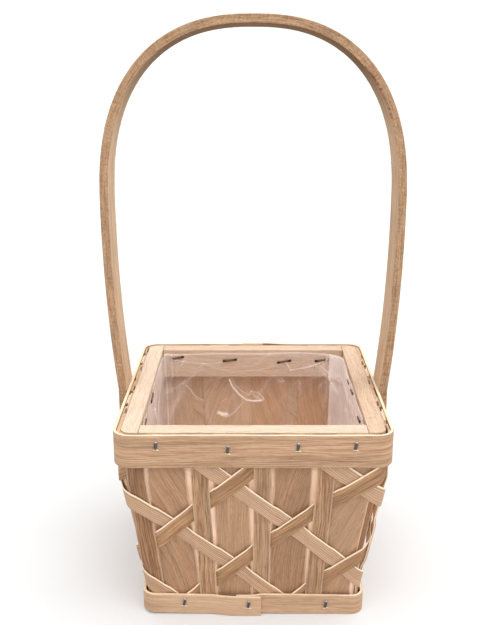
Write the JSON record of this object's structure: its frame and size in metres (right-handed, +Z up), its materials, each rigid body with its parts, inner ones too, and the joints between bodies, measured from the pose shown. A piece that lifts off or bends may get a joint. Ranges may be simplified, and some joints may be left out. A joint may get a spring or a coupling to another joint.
{
  "type": "box basket",
  "caption": "Square splint basket with a solid mouth frame, bent wood bands, open triaxial weave over backing splints, fixed hoop handle and film liner.",
  "frame": {"origin": "on the ground plane under the middle of the base board", "axes": "+Z up, +X to the right seen from the front, +Y to the back; the handle's hoop lies in the XZ plane"},
  "size_m": [0.2404, 0.2107, 0.4588],
  "materials": {
    "base_wood": "sawn, unvarnished",
    "band_wood": "smooth veneer, unvarnished",
    "frame_wood": "planed, unvarnished",
    "wide_splint_wood": "peeled veneer, unvarnished",
    "splint_wood": "peeled veneer, unvarnished",
    "handle_wood": "sawn edges, smooth faces",
    "liner_film": "thin clear film"
  },
  "bodies": {
    "root": {"base_board": "base_wood", "foot_band": "band_wood", "top_band": "band_wood", "handle": "handle_wood", "liner": "liner_film", "frame_front": "frame_wood", "frame_right": "frame_wood", "frame_back": "frame_wood", "frame_left": "frame_wood", "wide_splint_front_1": "wide_splint_wood", "upright_splint_front_1": "splint_wood", "wide_splint_front_2": "wide_splint_wood", "upright_splint_front_2": "splint_wood", "wide_splint_front_3": "wide_splint_wood", "upright_splint_front_3": "splint_wood", "wide_splint_front_4": "wide_splint_wood", "upright_splint_front_4": "splint_wood", "wide_splint_right_1": "wide_splint_wood", "upright_splint_right_1": "splint_wood", "wide_splint_right_2": "wide_splint_wood", "upright_splint_right_2": "splint_wood", "wide_splint_right_3": "wide_splint_wood", "upright_splint_right_3": "splint_wood", "wide_splint_right_4": "wide_splint_wood", "upright_splint_right_4": "splint_wood", "wide_splint_back_1": "wide_splint_wood", "upright_splint_back_1": "splint_wood", "wide_splint_back_2": "wide_splint_wood", "upright_splint_back_2": "splint_wood", "wide_splint_back_3": "wide_splint_wood", "upright_splint_back_3": "splint_wood", "wide_splint_back_4": "wide_splint_wood", "upright_splint_back_4": "splint_wood", "wide_splint_left_1": "wide_splint_wood", "upright_splint_left_1": "splint_wood", "wide_splint_left_2": "wide_splint_wood", "upright_splint_left_2": "splint_wood", "wide_splint_left_3": "wide_splint_wood", "upright_splint_left_3": "splint_wood", "wide_splint_left_4": "wide_splint_wood", "upright_splint_left_4": "splint_wood", "rising_splint_1": "splint_wood", "falling_splint_1": "splint_wood", "rising_splint_2": "splint_wood", "falling_splint_2": "splint_wood", "rising_splint_3": "splint_wood", "falling_splint_3": "splint_wood", "rising_splint_4": "splint_wood", "falling_splint_4": "splint_wood", "rising_splint_5": "splint_wood", "falling_splint_5": "splint_wood", "rising_splint_6": "splint_wood", "falling_splint_6": "splint_wood", "rising_splint_7": "splint_wood", "falling_splint_7": "splint_wood", "rising_splint_8": "splint_wood", "falling_splint_8": "splint_wood"}
  },
  "joints": []
}
